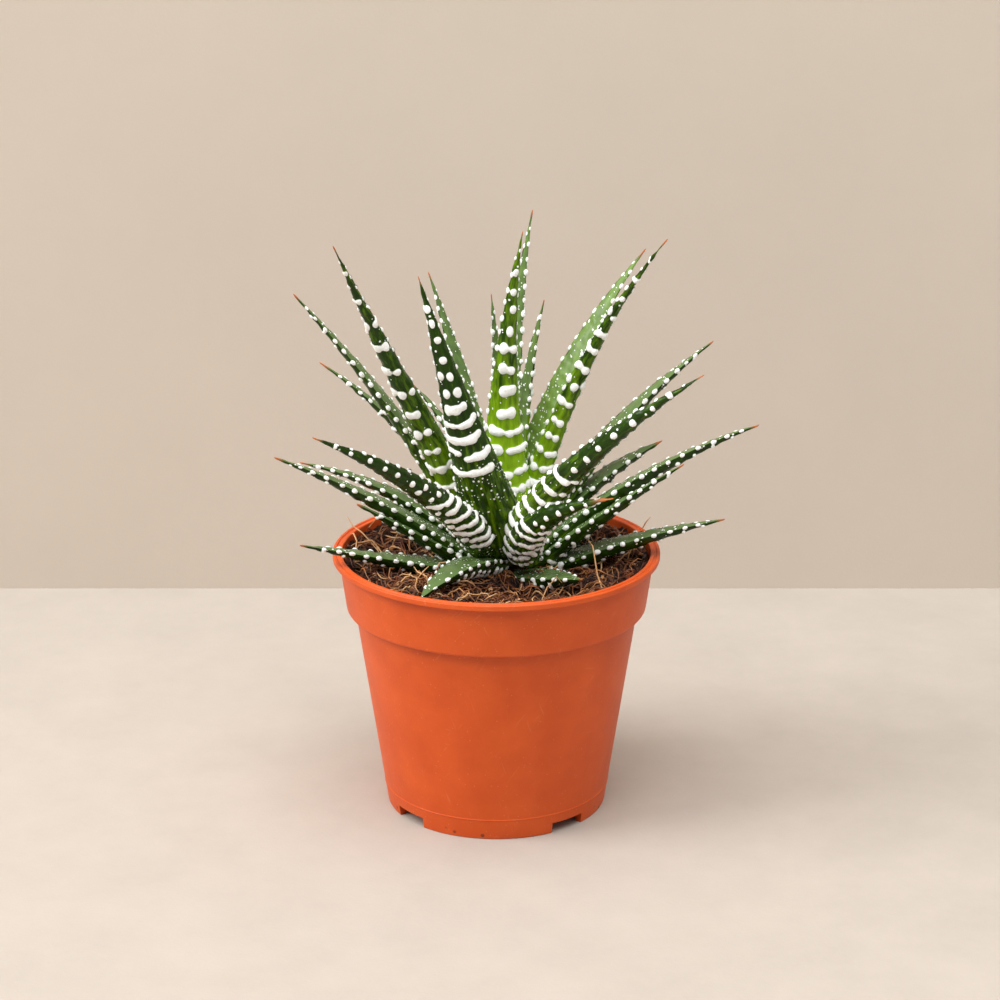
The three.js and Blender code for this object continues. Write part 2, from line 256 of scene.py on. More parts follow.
# Moulded polypropylene, coloured through: matte, with a soft wide sheen and faint clouding where
# the melt flowed. Stacking has left a few short pale scuffs in all directions, and there are
# pale specks of lime and dark crumbs of soil near the foot. The scuffs, in millimetres, are drawn
# twice as wide as real ones, so that they show. The other patterns are given by how many fit in
# a metre: clouds 11 mm across, specks 1.8 mm apart, crumbs 3.3 mm apart and a 0.7 mm grain.
SCUFF_TURNS = (0.35, -0.9, 1.4, 2.5)
SCUFF_WIDTH = 0.3
SCUFF_LENGTH = 3.2
SCUFF_SHIFT = (0.31, 0.17)
CLOUDS_A_METRE = 90
SPECKS_A_METRE = 560
CRUMBS_A_METRE = 300
GRAINS_A_METRE = 1500
FOOT_DIRT = (0.5, 4)
pot_plastic, tree, shader = new_material("moulded_terracotta_polypropylene")
place = add_node(tree, "ShaderNodeTexCoord").outputs["Object"]
axes = add_node(tree, "ShaderNodeSeparateXYZ", {"Vector": place})
front = add_node(tree, "ShaderNodeMath", {0: axes.outputs["Y"], 1: -1}, operation="MULTIPLY")
turn = add_node(
    tree, "ShaderNodeMath", {0: axes.outputs["X"], 1: front.outputs["Value"]}, operation="ARCTAN2"
)
round_wall = add_node(
    tree,
    "ShaderNodeMath",
    {0: turn.outputs["Value"], 1: SHOULDER_RADIUS * MM},
    operation="MULTIPLY",
)
wall_place = add_node(
    tree, "ShaderNodeCombineXYZ", {"X": round_wall.outputs["Value"], "Y": axes.outputs["Z"]}
).outputs["Vector"]
clouding = add_node(
    tree, "ShaderNodeTexNoise", {"Vector": place, "Scale": CLOUDS_A_METRE, "Detail": 8}
)
body_colour = colour_stops(
    add_node(tree, "ShaderNodeValToRGB", {"Fac": clouding.outputs["Fac"]}),
    [(0.3, 0xC64A0C), (0.7, 0xD45516)],
)
scuffing = 0.0
for number, scuff_turn in enumerate(SCUFF_TURNS):
    stretched = add_node(
        tree,
        "ShaderNodeMapping",
        {
            "Vector": wall_place,
            "Location": (SCUFF_SHIFT[0] * number, SCUFF_SHIFT[1] * number, 0),
            "Rotation": (0, 0, scuff_turn),
            "Scale": (SCUFF_WIDTH * MM, SCUFF_LENGTH * MM, 1),
        },
        vector_type="TEXTURE",
    )
    streaks = add_node(
        tree,
        "ShaderNodeTexNoise",
        {"Vector": stretched.outputs["Vector"], "Scale": 0.5, "Detail": 1, "Distortion": 0.6},
        noise_dimensions="2D",
    )
    scuff = add_node(
        tree,
        "ShaderNodeMapRange",
        {"Value": streaks.outputs["Fac"], "From Min": 0.76, "From Max": 0.86},
    )
    scuffing = add_node(
        tree, "ShaderNodeMath", {0: scuffing, 1: scuff.outputs["Result"]}, operation="MAXIMUM"
    ).outputs["Value"]
handled = add_node(
    tree, "ShaderNodeTexNoise", {"Vector": place, "Scale": CLOUDS_A_METRE, "Detail": 3}
)
handled_more = add_node(
    tree,
    "ShaderNodeMapRange",
    {
        "Value": handled.outputs["Fac"],
        "From Min": 0.35,
        "From Max": 0.7,
        "To Min": 0.05,
        "To Max": 0.45,
    },
)
scuffing = add_node(
    tree, "ShaderNodeMath", {0: scuffing, 1: handled_more.outputs["Result"]}, operation="MULTIPLY"
).outputs["Value"]
specks = add_node(tree, "ShaderNodeTexVoronoi", {"Vector": place, "Scale": SPECKS_A_METRE})
speck_dots = add_node(
    tree,
    "ShaderNodeMapRange",
    {"Value": specks.outputs["Distance"], "From Min": 0.12, "From Max": 0.07, "To Max": 0.5},
)
pale_marks = add_node(
    tree, "ShaderNodeMath", {0: scuffing, 1: speck_dots.outputs["Result"]}, operation="MAXIMUM"
)
scuffed = add_node(
    tree,
    "ShaderNodeMix",
    {"Factor": pale_marks.outputs["Value"], "A": body_colour, "B": linear(0xD98050)},
    data_type="RGBA",
)
soil_crumbs = add_node(tree, "ShaderNodeTexVoronoi", {"Vector": place, "Scale": CRUMBS_A_METRE})
crumb_dots = add_node(
    tree,
    "ShaderNodeMapRange",
    {"Value": soil_crumbs.outputs["Distance"], "From Min": 0.2, "From Max": 0.12},
)
near_foot = add_node(
    tree,
    "ShaderNodeMapRange",
    {
        "Value": axes.outputs["Z"],
        "From Min": FOOT_DIRT[0] * MM,
        "From Max": FOOT_DIRT[1] * MM,
        "To Min": 0.9,
        "To Max": 0,
    },
)
crumbs_on_foot = add_node(
    tree,
    "ShaderNodeMath",
    {0: crumb_dots.outputs["Result"], 1: near_foot.outputs["Result"]},
    operation="MULTIPLY",
)
marked = add_node(
    tree,
    "ShaderNodeMix",
    {
        "Factor": crumbs_on_foot.outputs["Value"],
        "A": scuffed.outputs["Result"],
        "B": linear(0x4A2312),
    },
    data_type="RGBA",
)
tree.links.new(marked.outputs["Result"], shader.inputs["Base Color"])
grain = add_node(
    tree, "ShaderNodeTexNoise", {"Vector": place, "Scale": GRAINS_A_METRE, "Detail": 3}
)
raised = add_node(
    tree,
    "ShaderNodeMath",
    {0: pale_marks.outputs["Value"], 1: 0.5, 2: grain.outputs["Fac"]},
    operation="MULTIPLY_ADD",
)
bump = add_node(
    tree,
    "ShaderNodeBump",
    {"Height": raised.outputs["Value"], "Strength": 0.2, "Distance": 0.2 * MM},
)
tree.links.new(bump.outputs["Normal"], shader.inputs["Normal"])
shader.inputs["Roughness"].default_value = 0.48
shader.inputs["IOR"].default_value = 1.49
shader.inputs["Specular IOR Level"].default_value = 0.4
cover(pot, pot_plastic)
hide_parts("pot")
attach(pot, "root")


# Potting mix. Coir and peat, filled to a few millimetres under the lip, rough on top and higher
# against the wall. A grid is rolled up into one closed body that follows the pot's inside. Each
# kind of lump on top has a height and a size in millimetres, and a seed.
CROWN_X = 2.0
SOIL_HEIGHT = 69.0
SOIL_BANK = 2.4
BANK_POWER = 5
SOIL_RADIUS = 41.8
SOIL_AROUND = 240
SOIL_RINGS = 110
SOIL_GAP = 0.3
HOLLOW_X = 12
HOLLOW_Y = -25
HOLLOW_WIDTH = 13
HOLLOW_REACH = 8
HOLLOW_DEPTH = 4.0
COARSE_LUMPS = (0.7, 9, 1)
MIDDLE_LUMPS = (0.5, 3.6, 2)
FINE_LUMPS = (0.35, 1.7, 3)


def rolled_grid(name, around, rows):
    """A flat grid to be rolled up. Returns it, with each corner's place along it from 0 to 1."""
    deselect_all()
    bpy.ops.mesh.primitive_grid_add(x_subdivisions=around, y_subdivisions=rows, size=1)
    piece = bpy.context.active_object
    piece.name = name
    return piece, np.linspace(0, 1, rows + 1)


def weld_up(piece, corners):
    """Moves the grid's corners to their places, in millimetres, and joins its meeting edges."""
    piece.data.vertices.foreach_set("co", (corners * MM).ravel())
    bpy.ops.object.mode_set(mode="EDIT")
    bpy.ops.mesh.select_all(action="SELECT")
    bpy.ops.mesh.remove_doubles(threshold=WELD_DISTANCE)
    bpy.ops.mesh.normals_make_consistent(inside=False)
    bpy.ops.object.mode_set(mode="OBJECT")
    bpy.ops.object.shade_smooth()


WAVES = 14


def layered_noise(x, y, size, seed):
    """Smooth noise between about -1 and 1 from sums of waves, with features of about that size."""
    random = np.random.default_rng(seed)
    total = np.zeros_like(x)
    for _ in range(WAVES):
        turn = random.uniform(0, 2 * math.pi)
        pace = 2 * math.pi / (size * random.uniform(0.7, 1.6))
        shift = random.uniform(0, 2 * math.pi)
        total = total + np.sin((x * math.cos(turn) + y * math.sin(turn)) * pace + shift)
    return total / WAVES ** 0.5


def mix_height(x, y):
    """The height of the mix's top in millimetres. It is hollow in front of the lowest leaf."""
    from_hollow = ((x - HOLLOW_X) / HOLLOW_WIDTH) ** 2 + ((y - HOLLOW_Y) / HOLLOW_REACH) ** 2
    hollow = HOLLOW_DEPTH * np.exp(-from_hollow)
    bank = SOIL_BANK * np.clip(np.hypot(x, y) / SOIL_RADIUS, 0, 1) ** BANK_POWER
    height = SOIL_HEIGHT + bank - hollow
    for tall, size, seed in (COARSE_LUMPS, MIDDLE_LUMPS, FINE_LUMPS):
        height = height + tall * layered_noise(x, y, size, seed)
    return height


mix_outline = [
    (0, FLOOR_TOP + SOIL_GAP),
    (wall_radius(FLOOR_TOP) - WALL - SOIL_GAP, FLOOR_TOP + SOIL_GAP),
    (SHOULDER_RADIUS - WALL - SOIL_GAP, STEP_HEIGHT + SOIL_GAP),
    (BAND_RADIUS - WALL - SOIL_GAP, STEP_HEIGHT + WALL + 2 * SOIL_GAP),
]
mix_radii = [radius for radius, _ in mix_outline] + list(np.linspace(SOIL_RADIUS, 0, SOIL_RINGS))
mix, _ = rolled_grid("potting_mix", SOIL_AROUND, len(mix_radii) - 1)
angle = np.linspace(0, 2 * math.pi, SOIL_AROUND + 1)[None, :]
radius = np.array(mix_radii)[:, None]
x, y = radius * np.cos(angle), radius * np.sin(angle)
z = mix_height(x, y)
z[: len(mix_outline)] = np.array([height for _, height in mix_outline])[:, None]
weld_up(mix, np.stack([x, y, z], axis=-1))

# Damp coir pith and peat crumbs: dull, red-brown to nearly black, with paler woody bits. One
# noise gives both the colour and the bump, so the hollows between crumbs are the darkest: partly
# darker peat, partly painted shade. The crumbs are 2.4 mm across and smaller.
CRUMBS_OF_PITH_A_METRE = 420
coir_pith, tree, shader = new_material("damp_coir_and_peat")
place = add_node(tree, "ShaderNodeTexCoord").outputs["Object"]
crumbs = add_node(
    tree,
    "ShaderNodeTexNoise",
    {"Vector": place, "Scale": CRUMBS_OF_PITH_A_METRE, "Detail": 6, "Roughness": 0.7},
)
# Nearly black in the bump's hollows: darker peat and painted shade.
crumb_colour_and_hollow_shade = colour_stops(
    add_node(tree, "ShaderNodeValToRGB", {"Fac": crumbs.outputs["Fac"]}),
    [(0.34, 0x090402), (0.5, 0x241006), (0.62, 0x4C2510), (0.75, 0x824A24)],
)
bump = add_node(
    tree,
    "ShaderNodeBump",
    {"Height": crumbs.outputs["Fac"], "Strength": 0.9, "Distance": 0.8 * MM},
)
tree.links.new(crumb_colour_and_hollow_shade, shader.inputs["Base Color"])
tree.links.new(bump.outputs["Normal"], shader.inputs["Normal"])
shader.inputs["Roughness"].default_value = 0.9
shader.inputs["Specular IOR Level"].default_value = 0.25
cover(mix, coir_pith)
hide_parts("soil")
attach(mix, "root")


# Coir strands. Loose curved fibres of coconut husk that lie tangled on the mix, dark to pale,
# a few of them over the lip and the leaf bases. Each group is a set of thin curves made a mesh.
STRAND_POINTS = 7
STRAND_LIMIT = 41.6
STRAND_REST = 0.15
STRAND_TAPER = 0.55
STRAND_CURL = 0.35
STREW_RADIUS = 41
STREW_INNER = 0.04
FIBRE_PATCHES_A_METRE = 260


def strand_route(random, start, heading, length, curl, lift):
    """A curved route over the mix, in millimetres. curl is in radians a millimetre."""
    x, y = start
    step = length / (STRAND_POINTS - 1)
    rise = random.uniform(0.0, lift)
    droop = random.uniform(-0.4, 1.0)
    route = []
    for number in range(STRAND_POINTS):
        t = number / (STRAND_POINTS - 1)
        arch = 4 * t * (1 - t) * rise + droop * t * t * rise
        height = float(mix_height(np.array(x), np.array(y)))
        route.append((x, y, height + STRAND_REST + arch))
        heading += curl * step * random.uniform(0.4, 1.6)
        x += step * math.cos(heading)
        y += step * math.sin(heading)
    return route


def lay_strands(name, routes, radii, material):
    """Thin round strands along the routes, as one mesh."""
    data = bpy.data.curves.new(name, "CURVE")
    data.dimensions = "3D"
    data.bevel_depth = MM
    data.bevel_resolution = 0
    data.use_fill_caps = True
    for route, radius in zip(routes, radii):
        spline = data.splines.new("POLY")
        spline.points.add(len(route) - 1)
        for number, (point, place) in enumerate(zip(spline.points, route)):
            taper = 1 - STRAND_TAPER * abs(2 * number / (len(route) - 1) - 1) ** 2
            point.co = (*(Vector(place) * MM), 1)
            point.radius = radius * taper
    strands = bpy.data.objects.new(name, data)
    bpy.context.collection.objects.link(strands)
    deselect_all()
    strands.select_set(True)
    bpy.context.view_layer.objects.active = strands
    bpy.ops.object.convert(target="MESH")
    strands = bpy.context.active_object
    bpy.ops.object.shade_smooth()
    cover(strands, material)
    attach(strands, "root")


def husk_fibre(name, dark, pale):
    """Coir fibre: dry, faintly shiny, each 4 mm stretch of it a little paler or darker."""
    material, tree, shader = new_material(name)
    place = add_node(tree, "ShaderNodeTexCoord").outputs["Object"]
    patches = add_node(
        tree, "ShaderNodeTexNoise", {"Vector": place, "Scale": FIBRE_PATCHES_A_METRE, "Detail": 3}
    )
    colour = colour_stops(
        add_node(tree, "ShaderNodeValToRGB", {"Fac": patches.outputs["Fac"]}),
        [(0.35, dark), (0.65, pale)],
    )
    tree.links.new(colour, shader.inputs["Base Color"])
    shader.inputs["Roughness"].default_value = 0.55
    return material


def scattered_strands(seed, count, longest, lift, thick):
    """Routes and radii of strands strewn over the mix, clear of the pot's wall."""
    random = np.random.default_rng(seed)
    routes, radii = [], []
    while len(routes) < count:
        spread = STREW_RADIUS * random.uniform(STREW_INNER, 1) ** 0.5
        turn = random.uniform(0, 2 * math.pi)
        route = strand_route(
            random,
            (spread * math.cos(turn), spread * math.sin(turn)),
            random.uniform(0, 2 * math.pi),
            random.uniform(0.3, 1) * longest,
            random.uniform(-STRAND_CURL, STRAND_CURL),
            lift,
        )
        if all(math.hypot(x, y) < STRAND_LIMIT for x, y, _ in route):
            routes.append(route)
            radii.append(random.uniform(0.6, 1) * thick)
    return routes, radii


# Each group: name, seed, strands, longest, lift and thickness in millimetres, two colours.
STRAND_GROUPS = [
    ("coir_dark", 11, 700, 9, 0.9, 0.22, 0x140803, 0x38190A),
    ("coir_brown", 12, 750, 11, 1.6, 0.22, 0x3E1C0B, 0x7A3F1A),
    ("coir_tan", 13, 330, 13, 2.2, 0.24, 0x70401C, 0xB0733F),
    ("coir_pale", 14, 110, 14, 2.8, 0.27, 0xB07C4A, 0xDCB280),
]
for name, seed, count, longest, lift, thick, dark, pale in STRAND_GROUPS:
    routes, radii = scattered_strands(seed, count, longest, lift, thick)
    lay_strands(name + "_strands", routes, radii, husk_fibre(name + "_fibre", dark, pale))

# Stray strands, each given one by one: points from one end to the other, in millimetres.
STRAY_ROUTES = [
    [
        (24.5, -9, 79.5), (26, -13, 78.5), (26.5, -17, 76),
        (27, -22, 73.5), (28, -26, 71.5), (29, -30, 71),
    ],
    [(-18, -22, 76), (-19.5, -23.5, 75), (-21, -25, 73.5), (-21.5, -27, 72), (-20.5, -29, 71)],
    [(-22, -21, 75.5), (-21, -23, 74.8), (-18.5, -24.5, 74), (-18, -26.5, 72.5), (-19, -29, 71)],
    [(-41.5, 12, 78.5), (-40, 10, 76.5), (-37.5, 9, 75), (-35, 7, 73), (-33, 4, 71.5)],
    [(-40.5, 6, 75.5), (-39.5, 5, 76), (-38.5, 3, 74.5), (-38.8, 1, 72), (-38, -2, 71)],
    [(39, 9, 72), (40.5, 11, 75), (41.8, 12, 77), (43, 13, 78)],
    [(12, -33, 70.5), (13.5, -30, 73), (16, -26.5, 74.5), (17.5, -24, 72)],
    [(-27, 18, 71), (-30, 20, 75), (-33, 21, 76), (-36, 19, 73)],
]
STRAY_THICKNESS = 0.24
stray_fibre = husk_fibre("stray_fibre", 0xA87240, 0xD8A976)
lay_strands("stray_strands", STRAY_ROUTES, [STRAY_THICKNESS] * len(STRAY_ROUTES), stray_fibre)


# Husk chips. Flakes of coconut husk and bark in the mix: flat, torn along the grain, brown to
# tan. One small slab is cut once and then copied, each copy turned and sized.
CHIP_COUNT = 420
CHIP_LENGTHS = (1.0, 4.2)
CHIP_WIDTHS = (0.6, 1.6)
CHIP_THICKNESSES = (0.25, 0.6)
CHIP_TILT = 0.5
CHIP_FRAY = 0.09
CHIP_REST = 0.25


def husk_chips(name, seed, count, material):
    """Small torn slabs strewn over the mix, as one mesh."""
    random = np.random.default_rng(seed)
    slab = np.array([
        (-0.5, -0.35, -0.5), (0.1, -0.5, -0.5), (0.5, -0.2, -0.5),
        (0.42, 0.4, -0.5), (-0.4, 0.5, -0.5),
        (-0.45, -0.3, 0.5), (0.12, -0.42, 0.5), (0.46, -0.16, 0.5),
        (0.36, 0.33, 0.5), (-0.36, 0.44, 0.5),
    ])
    slab_faces = [(4, 3, 2, 1, 0), (5, 6, 7, 8, 9)]
    slab_faces += [(side, (side + 1) % 5, (side + 1) % 5 + 5, side + 5) for side in range(5)]
    corners, faces = [], []
    for chip in range(count):
        spread = STREW_RADIUS * random.uniform(STREW_INNER, 1) ** 0.5
        turn = random.uniform(0, 2 * math.pi)
        x, y = spread * math.cos(turn), spread * math.sin(turn)
        size = [random.uniform(*span) for span in (CHIP_LENGTHS, CHIP_WIDTHS, CHIP_THICKNESSES)]
        tilts = [random.uniform(-tilt, tilt) for tilt in (CHIP_TILT, CHIP_TILT)]
        tilts.append(random.uniform(0, 2 * math.pi))
        frayed = slab + random.uniform(-CHIP_FRAY, CHIP_FRAY, slab.shape)
        turning = np.array(Euler(tilts).to_matrix())
        height = float(mix_height(np.array(x), np.array(y))) + CHIP_REST
        base = len(corners)
        for corner in (frayed * np.array(size)) @ turning.T + np.array([x, y, height]):
            reach = math.hypot(corner[0], corner[1])
            corner[:2] *= min(1, STRAND_LIMIT / reach)
            corners.append(corner * MM)
        faces += [tuple(index + base for index in face) for face in slab_faces]
    mesh = bpy.data.meshes.new(name)
    mesh.from_pydata(corners, [], faces)
    chips = bpy.data.objects.new(name, mesh)
    bpy.context.collection.objects.link(chips)
    chips.data.materials.append(material)
    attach(chips, "root")


husk_bark = husk_fibre("torn_coconut_husk", 0x30150A, 0x7C401C)
husk_pale = husk_fibre("split_pale_husk", 0x9A602F, 0xCC9760)
husk_chips("husk_chips", 21, CHIP_COUNT, husk_bark)
husk_chips("pale_husk_chips", 22, CHIP_COUNT // 4, husk_pale)


# Stem. The short crown that every leaf grows from, rooted in the mix and hidden by the leaf
# bases. It is turned as the pot is.
stem = turned_body("crown_stem", 32, [
    (0.5, 42, 0),
    (1.8, 42, 0.4),
    (2.6, 46, 0.5),
    (2.6, 76, 0.8),
    (1.5, 79, 0.5),
    (0.5, 79.2, 0),
], CROWN_X)
bpy.ops.object.shade_smooth()

# Pale green, smooth plant tissue, mottled with paler 1.7 mm scars where leaves are set.
SCARS_A_METRE = 600
stem_tissue, tree, shader = new_material("pale_green_stem_tissue")
place = add_node(tree, "ShaderNodeTexCoord").outputs["Object"]
scars = add_node(
    tree, "ShaderNodeTexNoise", {"Vector": place, "Scale": SCARS_A_METRE, "Detail": 3}
)
scar_colour = colour_stops(
    add_node(tree, "ShaderNodeValToRGB", {"Fac": scars.outputs["Fac"]}),
    [(0.3, 0x5C6B33), (0.7, 0x8D9A55)],
)
tree.links.new(scar_colour, shader.inputs["Base Color"])
shader.inputs["Roughness"].default_value = 0.6
cover(stem, stem_tissue)
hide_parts("stem")
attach(stem, "root")


# Leaves. Thick, pointed succulent blades, flat above and rounded below, with smooth waxy skin.
# White tubercles stand on it: bands of merged lumps across the back, pairs and single dots
# towards the tip, and a row of dots along each margin. A grid is rolled up round each leaf.
#
# Each leaf: compass angle from the front, root radius, root height, reach of the tip from the
# crown's axis, height of the tip, bow towards the upper face, bow sideways, width, fullness,
# turn about the leaf's own line, youth from 0 to about 1, which pales the base and also paints
# light shining through it, length of its dry tip, and habit.
# Millimetres and degrees.
LEAVES = [
    (-33, 3, 70.5, 41, 71, 4.5, 0.5, 11, 2.4, -5, 0.2, 1, "lowest"),
    (38, 6, 68.5, 34, 74, 0, 0, 10.8, 2, -4, 0.1, 1.5, "lowest"),
    (-72, 5, 68, 57.5, 80.5, 0, 0, 10.5, 1.5, 0, 0.1, 2, "spotted"),
    (84, 5, 67, 60.5, 84, 2, -1.5, 12, 1.5, 0, 0.15, 2.5, "spotted"),
    (-172, 5, 67, 46, 78, 2, 0, 11, 1.4, 0, 0.1, 2.5, "striped"),
    (125, 5, 67, 47, 80, 3, 0, 11, 1.4, 0, 0.1, 2.5, "spotted"),
    (-116, 5, 67, 49, 84, 3, 0, 11, 1.4, 0, 0.1, 2.5, "striped"),
    (-72, 5, 69, 41.5, 90.5, 0, 0, 10, 1.3, 0, 0.1, 2, "spotted"),
    (74, 5, 68, 50, 102, 1, -1, 11, 1.3, 0, 0.15, 2.5, "spotted"),
    (158, 4, 68, 44, 84, 4, 0, 11, 1.4, 0, 0.1, 2.5, "striped"),
    (-142, 4, 69, 50, 99, 4, 0, 11, 1.3, 0, 0.2, 2.5, "hearted"),
    (34, 10, 74, 50.4, 101.5, 3.7, -6.1, 12.3, 1.1, 64, 0.25, 6, "leaning"),
    (-38, 6.5, 73.5, 77, 123.5, 2.9, 6, 9, 1.8, -56, 0.2, 3, "banded"),
    (104, 5, 66, 36.6, 88.8, -2, 0, 6, 2, 0, 0, 4.5, "spotted"),
    (88, 4, 69, 69, 109.5, 5, -1.5, 13.5, 1.3, 8, 0.2, 2.5, "spotted"),
    (-80, 4, 69, 62.5, 103, 2.5, 0, 12.5, 1.3, 0, 0.15, 3, "spotted"),
    (-97, 4, 70, 56.5, 96, 5, 0, 10, 1.3, 0, 0.2, 3, "spotted"),
    (142, 4, 70, 46, 94, 4, 0, 11, 1.3, 0, 0.2, 2.5, "striped"),
    (110, 4, 70, 47, 99.5, 5, -2, 8.5, 3, 0, 0.2, 3, "spotted"),
    (178, 4, 70, 46, 100, 4, 0, 11.5, 1.3, 0, 0.3, 2.5, "hearted"),
    (42, 3.5, 74, 74, 138, 1.5, -9.5, 10.3, 1.5, 58, 0.4, 2.5, "arched"),
    (-74, 3.5, 71, 57, 149, 3, 4, 12, 1.25, 20, 0.4, 2.5, "spotted"),
    (106, 3.5, 72, 60, 128, 4.5, 0, 14.5, 1.15, 0, 0.35, 2, "spotted"),
    (-100, 3.5, 72, 51, 124, 5.5, 0, 10, 1.25, 0, 0.4, 3.5, "spotted"),
    (-41, 1, 74, 33.5, 156, -5, 5.5, 20.5, 0.91, -45, 0.3, 2.5, "clasping"),
    (-125, 3.5, 73, 31, 115.5, 5, -1, 9, 1.25, 0, 0.2, 2, "spotted"),
    (62, 3.5, 73, 47.5, 165, 8, 8, 8, 1.1, 55, 0.65, 3.5, "paired"),
    (-44, 3.5, 72, 61, 168, 1.5, -4, 10.5, 1.2, -60, 0.5, 3, "slender"),
    # Youth 1.15 is more than this leaf's age: the extra paints light onto its shaded face.
    (120, 3.5, 74, 45, 152.5, 5.5, 2.5, 15, 1.1, -20, 1.15, 3.5, "hearted"),
    (-146, 3.5, 74, 37.5, 144, -1, -3, 10.5, 1.25, 0, 0.6, 2.5, "hearted"),
    (42, 3, 75, 7.5, 163.5, 3.5, -1.5, 18.5, 0.8, 19, 0.9, 1.5, "inner"),
    (160, 3, 76, 23, 163.5, 0, 2.5, 9.5, 1.25, 0, 0.7, 2.5, "paired"),
    (135, 3, 77, 15.5, 141, 0, 2.5, 8.5, 1.25, 0, 0.8, 2, "paired"),
    (-155, 3, 77, 8, 143.5, 0, -1.5, 8, 1.25, 0, 0.7, 2, "paired"),
]
# Each habit, a way in which the tubercles stand: where along the leaf the bands start, where they
# stop being joined right across, where pairs end and single dots begin, the bands' spacing at the
# base, at mid-leaf and at the tip, the lumps' radius, how much longer than wide they are, the rows
# of single dots, how far the pattern lies off the keel as a share of the half back, and the
# bands' slant.
HABITS = {
    "lowest": (0.04, 0.68, 0.72, 2.7, 3.2, 3.2, 0.72, 1.0, 1, 0.0, 0.0),
    "striped": (0.04, 0.46, 0.58, 3.5, 4.0, 4.6, 0.95, 1.0, 1, 0.0, 0.0),
    "leaning": (0.04, 0.46, 0.58, 3.5, 4.0, 4.6, 0.95, 1.0, 1, 0.0, -0.6),
    "banded": (0.14, 0.5, 0.6, 4.2, 4.8, 5.4, 1.05, 1.0, 1, -0.25, 0.8),
    "arched": (0.1, 0.48, 0.52, 4.8, 5.6, 6.4, 1.15, 1.05, 1, 0.1, -0.4),
    "spotted": (0.16, 0.2, 0.32, 3.2, 4.4, 4.6, 0.76, 1.15, 2, 0.0, 0.0),
    "hearted": (0.04, 0.26, 0.74, 4.4, 6.4, 6.0, 1.15, 1.2, 1, 0.0, 0.0),
    "slender": (0.06, 0.3, 0.76, 5.0, 7.2, 8.6, 1.3, 1.15, 1, 0.2, 0.0),
    "paired": (0.1, 0.3, 0.72, 4.2, 6.0, 6.6, 1.15, 1.15, 1, 0.1, 0.0),
    "clasping": (0.37, 0.58, 0.73, 4.6, 5.0, 4.8, 1.35, 1.2, 1, 0.06, 0.0),
    "inner": (0.18, 0.4, 0.66, 5.4, 6.0, 5.4, 1.4, 1.2, 1, 0.05, 0.0),
}
DRY_LEAF = "leaf_14"
LEAF_AROUND = 60
LEAF_BACK_SHARE = 0.7
LEAF_ROW_LENGTH = 0.36
LEAF_DEPTH = 0.4
LEAF_CROWN = 0.05
TIP_WIDTH = 0.35
TIP_DEPTH = 0.3
ROOT_PINCH = 0.6
ROOT_LENGTH = 0.09
KEEL_ROUNDNESS = 0.85
KEEL_SHARPENING = 0.25
TIP_CLOSING = 0.01
ROOT_CLOSING = 0.002
BARE_TIP = 5
BAND_SPREAD = 1.55
BAND_PITCH = 1.85
BROKEN_SHARE = 0.55
PAIRED_SHARE = 0.75
NARROW_BACK = 3.2
PAIR_PITCH = (1.95, 2.4)
ROW_OFFSET = 0.42
ROW_CROWDING = 0.62
SMILE = 1.8
FIRST_MARGIN_DOT = 0.12
BARE_MARGIN_TIP = 4.5
MARGIN_DOT_LENGTH = 1.35
LUMP_EDGE = 0.4
LUMP_HEIGHT = 0.6
SKIN_WAVE_HEIGHT = 0.12
SKIN_WAVE_SIZE = 4
UV_UNIT = 10
FIRST_LEAF_SEED = 100
ROOM_AROUND = 30
ROOM_ROWS = 24
ROOM_CLEARANCE = 0.25


def leaf_line(row, at):
    """Points of a leaf's line, and the ways across and below it, at each place from 0 to 1."""
    compass, root_radius, root_height, reach, tip_height, bow, side_bow = row[:7]
    angle = math.radians(compass)
    outwards = np.array([math.sin(angle), -math.cos(angle), 0])
    sideways = np.array([math.cos(angle), math.sin(angle), 0])
    upwards = np.array([0, 0, 1.0])
    crown = np.array([CROWN_X, 0, 0])
    root = crown + outwards * root_radius + upwards * root_height
    tip = crown + outwards * reach + upwards * tip_height
    chord = tip - root
    upper_side = chord @ outwards * upwards - chord[2] * outwards
    upper_side = upper_side / np.linalg.norm(upper_side)
    middle = (root + tip) / 2 + 2 * bow * upper_side + 2 * side_bow * sideways
    t = at[:, None]
    points = (1 - t) ** 2 * root + 2 * t * (1 - t) * middle + t * t * tip
    tangents = (1 - t) * (middle - root) + t * (tip - middle)
    tangents = tangents / np.linalg.norm(tangents, axis=1, keepdims=True)
    flat = sideways - tangents * (tangents @ sideways)[:, None]
    flat = flat / np.linalg.norm(flat, axis=1, keepdims=True)
    under = np.cross(flat, tangents)
    turn = math.radians(row[9])
    across = math.cos(turn) * flat + math.sin(turn) * under
    below = math.cos(turn) * under - math.sin(turn) * flat
    return points, across, below


